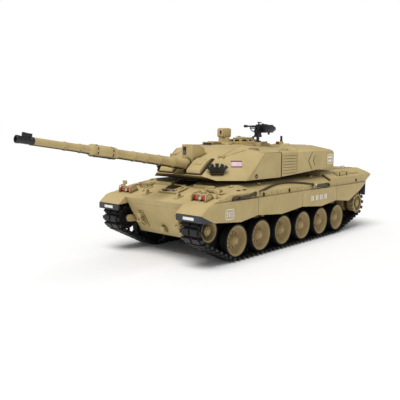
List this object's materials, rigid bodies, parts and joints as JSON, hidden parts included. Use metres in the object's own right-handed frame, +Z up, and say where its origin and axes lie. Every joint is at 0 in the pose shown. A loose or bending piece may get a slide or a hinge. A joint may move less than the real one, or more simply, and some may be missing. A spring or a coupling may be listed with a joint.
{
  "type": "radio controlled tank",
  "caption": "Radio controlled scale battle tank with a traversing turret, elevating gun, sprung road wheels, side skirts and opening hatches.",
  "frame": {"origin": "on the ground under the middle of the overall length, on the centre line", "axes": "+X is the left side of the tank, the gun points along -Y, +Z is up"},
  "size_m": [0.2252, 0.7184, 0.2052],
  "materials": {
    "hull_plastic": "matt desert tan moulded and painted plastic",
    "wheel_plastic": "matt tan plastic with a thin black tyre line",
    "track_plastic": "dull black plastic",
    "flap_rubber": "dark grey soft rubber",
    "gun_black": "semi-matt black plastic",
    "lamp_lens": "clear tinted lens",
    "cable": "braided cable painted dark",
    "screw_steel": "zinc plated",
    "arm_metal": "die-cast, dark",
    "battery_wrap": "shrink wrap",
    "board": "circuit board and black cases",
    "gearbox_case": "cast case"
  },
  "bodies": {
    "hull": {"lower_hull": "hull_plastic", "upper_hull": "hull_plastic", "skirt_left": "hull_plastic", "skirt_right": "hull_plastic", "mudflaps": "flap_rubber", "track_left": "track_plastic", "track_right": "track_plastic", "tow_cables": "cable", "lamp_lenses": "lamp_lens", "hull_fittings": "hull_plastic", "hull_screws": "screw_steel", "battery_pack": "battery_wrap", "battery_cover": "hull_plastic", "electronics": "board", "drive_units": "gearbox_case"},
    "turret": {"turret_base": "hull_plastic", "turret_shell": "hull_plastic", "stowage_bins": "hull_plastic", "smoke_launchers": "hull_plastic", "roof_fittings": "hull_plastic"},
    "gun": {"mantlet": "hull_plastic", "gun_barrel": "hull_plastic"},
    "power_switch": {"power_switch": "gun_black"},
    "driver_hatch": {"driver_hatch": "hull_plastic"},
    "commander_hatch": {"commander_hatch": "hull_plastic"},
    "loader_hatch": {"loader_hatch": "hull_plastic"},
    "mg_pintle": {"mg_pintle": "gun_black"},
    "machine_gun": {"machine_gun": "gun_black"},
    "sprocket_left": {"sprocket_left": "wheel_plastic"},
    "idler_left": {"idler_left": "wheel_plastic"},
    "return_roller_left_1": {"return_roller_left_1": "wheel_plastic"},
    "return_roller_left_2": {"return_roller_left_2": "wheel_plastic"},
    "swing_arm_left_1": {"swing_arm_left_1": "arm_metal"},
    "swing_arm_left_2": {"swing_arm_left_2": "arm_metal"},
    "swing_arm_left_3": {"swing_arm_left_3": "arm_metal"},
    "swing_arm_left_4": {"swing_arm_left_4": "arm_metal"},
    "swing_arm_left_5": {"swing_arm_left_5": "arm_metal"},
    "swing_arm_left_6": {"swing_arm_left_6": "arm_metal"},
    "road_wheel_left_1": {"road_wheel_left_1": "wheel_plastic"},
    "road_wheel_left_2": {"road_wheel_left_2": "wheel_plastic"},
    "road_wheel_left_3": {"road_wheel_left_3": "wheel_plastic"},
    "road_wheel_left_4": {"road_wheel_left_4": "wheel_plastic"},
    "road_wheel_left_5": {"road_wheel_left_5": "wheel_plastic"},
    "road_wheel_left_6": {"road_wheel_left_6": "wheel_plastic"},
    "sprocket_right": {"sprocket_right": "wheel_plastic"},
    "idler_right": {"idler_right": "wheel_plastic"},
    "return_roller_right_1": {"return_roller_right_1": "wheel_plastic"},
    "return_roller_right_2": {"return_roller_right_2": "wheel_plastic"},
    "swing_arm_right_1": {"swing_arm_right_1": "arm_metal"},
    "swing_arm_right_2": {"swing_arm_right_2": "arm_metal"},
    "swing_arm_right_3": {"swing_arm_right_3": "arm_metal"},
    "swing_arm_right_4": {"swing_arm_right_4": "arm_metal"},
    "swing_arm_right_5": {"swing_arm_right_5": "arm_metal"},
    "swing_arm_right_6": {"swing_arm_right_6": "arm_metal"},
    "road_wheel_right_1": {"road_wheel_right_1": "wheel_plastic"},
    "road_wheel_right_2": {"road_wheel_right_2": "wheel_plastic"},
    "road_wheel_right_3": {"road_wheel_right_3": "wheel_plastic"},
    "road_wheel_right_4": {"road_wheel_right_4": "wheel_plastic"},
    "road_wheel_right_5": {"road_wheel_right_5": "wheel_plastic"},
    "road_wheel_right_6": {"road_wheel_right_6": "wheel_plastic"}
  },
  "joints": [
    {"name": "turret_traverse", "type": "hinge", "parent": "hull", "child": "turret", "pos_m": [0, 0.04419, 0.1105], "axis": [0, 0, 1], "range_deg": [-160, 160]},
    {"name": "gun_elevation", "type": "hinge", "parent": "turret", "child": "gun", "pos_m": [0, -0.04281, 0.133], "axis": [-1, 0, 0], "range_deg": [-8, 9]},
    {"name": "power_switch_slide", "type": "slide", "parent": "hull", "child": "power_switch", "axis": [0, 1, 0], "range_m": [0, 0.003]},
    {"name": "driver_hatch_hinge", "type": "hinge", "parent": "hull", "child": "driver_hatch", "pos_m": [0, -0.08831, 0.105], "axis": [-1, 0, 0], "range_deg": [0, 50]},
    {"name": "commander_hatch_hinge", "type": "hinge", "parent": "turret", "child": "commander_hatch", "pos_m": [-0.03, 0.12599, 0.1776], "axis": [-1, 0, 0], "range_deg": [0, 85]},
    {"name": "loader_hatch_hinge", "type": "hinge", "parent": "turret", "child": "loader_hatch", "pos_m": [0.03, 0.08699, 0.1711], "axis": [-1, 0, 0], "range_deg": [0, 75]},
    {"name": "machine_gun_swivel", "type": "hinge", "parent": "turret", "child": "mg_pintle", "pos_m": [0.052, 0.04119, 0.175], "axis": [0, 0, 1], "continuous": true},
    {"name": "machine_gun_elevation", "type": "hinge", "parent": "mg_pintle", "child": "machine_gun", "pos_m": [0.052, 0.04119, 0.1895], "axis": [-1, 0, 0], "range_deg": [-10, 22]},
    {"name": "sprocket_left_spin", "type": "hinge", "parent": "hull", "child": "sprocket_left", "pos_m": [0.086, 0.30819, 0.0496], "axis": [1, 0, 0], "continuous": true},
    {"name": "idler_left_spin", "type": "hinge", "parent": "hull", "child": "idler_left", "pos_m": [0.086, -0.13604, 0.053], "axis": [1, 0, 0], "continuous": true},
    {"name": "return_roller_left_1_spin", "type": "hinge", "parent": "hull", "child": "return_roller_left_1", "pos_m": [0.086, 0.01669, 0.0618], "axis": [1, 0, 0], "continuous": true},
    {"name": "return_roller_left_2_spin", "type": "hinge", "parent": "hull", "child": "return_roller_left_2", "pos_m": [0.086, 0.19849, 0.0618], "axis": [1, 0, 0], "continuous": true},
    {"name": "swing_arm_left_1_pivot", "type": "hinge", "parent": "hull", "child": "swing_arm_left_1", "pos_m": [0.086, -0.10011, 0.038], "axis": [1, 0, 0], "range_deg": [0, 11], "stiffness_Nm_per_rad": 0.3, "springref_deg": -8.59},
    {"name": "road_wheel_left_1_spin", "type": "hinge", "parent": "swing_arm_left_1", "child": "road_wheel_left_1", "pos_m": [0.086, -0.07411, 0.0304], "axis": [1, 0, 0], "continuous": true},
    {"name": "swing_arm_left_2_pivot", "type": "hinge", "parent": "hull", "child": "swing_arm_left_2", "pos_m": [0.086, -0.03954, 0.038], "axis": [1, 0, 0], "range_deg": [0, 11], "stiffness_Nm_per_rad": 0.3, "springref_deg": -8.59},
    {"name": "road_wheel_left_2_spin", "type": "hinge", "parent": "swing_arm_left_2", "child": "road_wheel_left_2", "pos_m": [0.086, -0.01354, 0.0304], "axis": [1, 0, 0], "continuous": true},
    {"name": "swing_arm_left_3_pivot", "type": "hinge", "parent": "hull", "child": "swing_arm_left_3", "pos_m": [0.086, 0.02103, 0.038], "axis": [1, 0, 0], "range_deg": [0, 11], "stiffness_Nm_per_rad": 0.3, "springref_deg": -8.59},
    {"name": "road_wheel_left_3_spin", "type": "hinge", "parent": "swing_arm_left_3", "child": "road_wheel_left_3", "pos_m": [0.086, 0.04703, 0.0304], "axis": [1, 0, 0], "continuous": true},
    {"name": "swing_arm_left_4_pivot", "type": "hinge", "parent": "hull", "child": "swing_arm_left_4", "pos_m": [0.086, 0.0816, 0.038], "axis": [1, 0, 0], "range_deg": [0, 11], "stiffness_Nm_per_rad": 0.3, "springref_deg": -8.59},
    {"name": "road_wheel_left_4_spin", "type": "hinge", "parent": "swing_arm_left_4", "child": "road_wheel_left_4", "pos_m": [0.086, 0.1076, 0.0304], "axis": [1, 0, 0], "continuous": true},
    {"name": "swing_arm_left_5_pivot", "type": "hinge", "parent": "hull", "child": "swing_arm_left_5", "pos_m": [0.086, 0.14217, 0.038], "axis": [1, 0, 0], "range_deg": [0, 11], "stiffness_Nm_per_rad": 0.3, "springref_deg": -8.59},
    {"name": "road_wheel_left_5_spin", "type": "hinge", "parent": "swing_arm_left_5", "child": "road_wheel_left_5", "pos_m": [0.086, 0.16817, 0.0304], "axis": [1, 0, 0], "continuous": true},
    {"name": "swing_arm_left_6_pivot", "type": "hinge", "parent": "hull", "child": "swing_arm_left_6", "pos_m": [0.086, 0.20274, 0.038], "axis": [1, 0, 0], "range_deg": [0, 11], "stiffness_Nm_per_rad": 0.3, "springref_deg": -8.59},
    {"name": "road_wheel_left_6_spin", "type": "hinge", "parent": "swing_arm_left_6", "child": "road_wheel_left_6", "pos_m": [0.086, 0.22874, 0.0304], "axis": [1, 0, 0], "continuous": true},
    {"name": "sprocket_right_spin", "type": "hinge", "parent": "hull", "child": "sprocket_right", "pos_m": [-0.086, 0.30819, 0.0496], "axis": [1, 0, 0], "continuous": true},
    {"name": "idler_right_spin", "type": "hinge", "parent": "hull", "child": "idler_right", "pos_m": [-0.086, -0.13604, 0.053], "axis": [1, 0, 0], "continuous": true},
    {"name": "return_roller_right_1_spin", "type": "hinge", "parent": "hull", "child": "return_roller_right_1", "pos_m": [-0.086, 0.01669, 0.0618], "axis": [1, 0, 0], "continuous": true},
    {"name": "return_roller_right_2_spin", "type": "hinge", "parent": "hull", "child": "return_roller_right_2", "pos_m": [-0.086, 0.19849, 0.0618], "axis": [1, 0, 0], "continuous": true},
    {"name": "swing_arm_right_1_pivot", "type": "hinge", "parent": "hull", "child": "swing_arm_right_1", "pos_m": [-0.086, -0.10011, 0.038], "axis": [1, 0, 0], "range_deg": [0, 11], "stiffness_Nm_per_rad": 0.3, "springref_deg": -8.59},
    {"name": "road_wheel_right_1_spin", "type": "hinge", "parent": "swing_arm_right_1", "child": "road_wheel_right_1", "pos_m": [-0.086, -0.07411, 0.0304], "axis": [1, 0, 0], "continuous": true},
    {"name": "swing_arm_right_2_pivot", "type": "hinge", "parent": "hull", "child": "swing_arm_right_2", "pos_m": [-0.086, -0.03954, 0.038], "axis": [1, 0, 0], "range_deg": [0, 11], "stiffness_Nm_per_rad": 0.3, "springref_deg": -8.59},
    {"name": "road_wheel_right_2_spin", "type": "hinge", "parent": "swing_arm_right_2", "child": "road_wheel_right_2", "pos_m": [-0.086, -0.01354, 0.0304], "axis": [1, 0, 0], "continuous": true},
    {"name": "swing_arm_right_3_pivot", "type": "hinge", "parent": "hull", "child": "swing_arm_right_3", "pos_m": [-0.086, 0.02103, 0.038], "axis": [1, 0, 0], "range_deg": [0, 11], "stiffness_Nm_per_rad": 0.3, "springref_deg": -8.59},
    {"name": "road_wheel_right_3_spin", "type": "hinge", "parent": "swing_arm_right_3", "child": "road_wheel_right_3", "pos_m": [-0.086, 0.04703, 0.0304], "axis": [1, 0, 0], "continuous": true},
    {"name": "swing_arm_right_4_pivot", "type": "hinge", "parent": "hull", "child": "swing_arm_right_4", "pos_m": [-0.086, 0.0816, 0.038], "axis": [1, 0, 0], "range_deg": [0, 11], "stiffness_Nm_per_rad": 0.3, "springref_deg": -8.59},
    {"name": "road_wheel_right_4_spin", "type": "hinge", "parent": "swing_arm_right_4", "child": "road_wheel_right_4", "pos_m": [-0.086, 0.1076, 0.0304], "axis": [1, 0, 0], "continuous": true},
    {"name": "swing_arm_right_5_pivot", "type": "hinge", "parent": "hull", "child": "swing_arm_right_5", "pos_m": [-0.086, 0.14217, 0.038], "axis": [1, 0, 0], "range_deg": [0, 11], "stiffness_Nm_per_rad": 0.3, "springref_deg": -8.59},
    {"name": "road_wheel_right_5_spin", "type": "hinge", "parent": "swing_arm_right_5", "child": "road_wheel_right_5", "pos_m": [-0.086, 0.16817, 0.0304], "axis": [1, 0, 0], "continuous": true},
    {"name": "swing_arm_right_6_pivot", "type": "hinge", "parent": "hull", "child": "swing_arm_right_6", "pos_m": [-0.086, 0.20274, 0.038], "axis": [1, 0, 0], "range_deg": [0, 11], "stiffness_Nm_per_rad": 0.3, "springref_deg": -8.59},
    {"name": "road_wheel_right_6_spin", "type": "hinge", "parent": "swing_arm_right_6", "child": "road_wheel_right_6", "pos_m": [-0.086, 0.22874, 0.0304], "axis": [1, 0, 0], "continuous": true}
  ],
  "couplings": [
    {"joint": "idler_left_spin", "follows": "sprocket_left_spin", "ratio": 1.1868},
    {"joint": "return_roller_left_1_spin", "follows": "sprocket_left_spin", "ratio": 2.6503},
    {"joint": "return_roller_left_2_spin", "follows": "sprocket_left_spin", "ratio": 2.6503},
    {"joint": "road_wheel_left_1_spin", "follows": "sprocket_left_spin", "ratio": 0.8504},
    {"joint": "road_wheel_left_2_spin", "follows": "sprocket_left_spin", "ratio": 0.8504},
    {"joint": "road_wheel_left_3_spin", "follows": "sprocket_left_spin", "ratio": 0.8504},
    {"joint": "road_wheel_left_4_spin", "follows": "sprocket_left_spin", "ratio": 0.8504},
    {"joint": "road_wheel_left_5_spin", "follows": "sprocket_left_spin", "ratio": 0.8504},
    {"joint": "road_wheel_left_6_spin", "follows": "sprocket_left_spin", "ratio": 0.8504},
    {"joint": "idler_right_spin", "follows": "sprocket_right_spin", "ratio": 1.1868},
    {"joint": "return_roller_right_1_spin", "follows": "sprocket_right_spin", "ratio": 2.6503},
    {"joint": "return_roller_right_2_spin", "follows": "sprocket_right_spin", "ratio": 2.6503},
    {"joint": "road_wheel_right_1_spin", "follows": "sprocket_right_spin", "ratio": 0.8504},
    {"joint": "road_wheel_right_2_spin", "follows": "sprocket_right_spin", "ratio": 0.8504},
    {"joint": "road_wheel_right_3_spin", "follows": "sprocket_right_spin", "ratio": 0.8504},
    {"joint": "road_wheel_right_4_spin", "follows": "sprocket_right_spin", "ratio": 0.8504},
    {"joint": "road_wheel_right_5_spin", "follows": "sprocket_right_spin", "ratio": 0.8504},
    {"joint": "road_wheel_right_6_spin", "follows": "sprocket_right_spin", "ratio": 0.8504}
  ]
}
